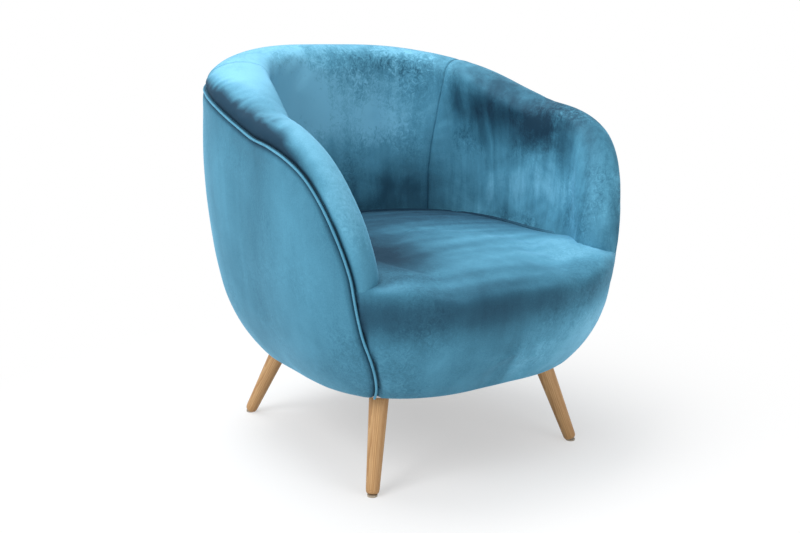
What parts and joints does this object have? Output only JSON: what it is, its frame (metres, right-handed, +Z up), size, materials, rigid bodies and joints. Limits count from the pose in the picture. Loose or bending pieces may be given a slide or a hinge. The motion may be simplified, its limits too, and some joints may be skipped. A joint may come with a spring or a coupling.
{
  "type": "accent chair",
  "caption": "Low velvet tub chair with a rolled wrap-around back and arms, a tight crowned seat and splayed tapered wooden legs.",
  "frame": {"origin": "on the floor under the middle of the chair's overall width and depth", "axes": "+Z up, the chair faces -Y, +X to the sitter's left"},
  "size_m": [0.6764, 0.6765, 0.7268],
  "materials": {
    "velvet": "short-pile velvet, teal blue, brushed",
    "plywood": "raw plywood",
    "leg_wood": "light natural wood under satin lacquer",
    "webbing": "woven elastic webbing",
    "dust_cloth": "black non-woven cloth",
    "plate_steel": "zinc-plated",
    "glide": "natural moulded nylon"
  },
  "bodies": {
    "root": {"arm_bow_left": "plywood", "arm_bow_right": "plywood", "base_board": "plywood", "dust_cover": "dust_cloth", "front_block_left": "plywood", "front_block_right": "plywood", "front_border": "velvet", "front_post_left": "plywood", "front_post_right": "plywood", "front_rail": "plywood", "glide_back_left": "glide", "glide_back_right": "glide", "glide_front_left": "glide", "glide_front_right": "glide", "inside_arm_pad_left": "velvet", "inside_arm_pad_right": "velvet", "inside_back_pad": "velvet", "leg_back_left": "leg_wood", "leg_back_right": "leg_wood", "leg_front_left": "leg_wood", "leg_front_right": "leg_wood", "leg_plate_back_left": "plate_steel", "leg_plate_back_right": "plate_steel", "leg_plate_front_left": "plate_steel", "leg_plate_front_right": "plate_steel", "outside_shell": "velvet", "rib_back": "plywood", "rib_corner_left": "plywood", "rib_corner_right": "plywood", "rib_side_left": "plywood", "rib_side_right": "plywood", "seat_cushion": "velvet", "seat_ring": "plywood", "top_rail_back": "plywood", "webbing_cross_1": "webbing", "webbing_cross_2": "webbing", "webbing_cross_3": "webbing", "webbing_cross_4": "webbing", "webbing_long_1": "webbing", "webbing_long_2": "webbing", "webbing_long_3": "webbing", "webbing_long_4": "webbing", "welt": "velvet"}
  },
  "joints": []
}
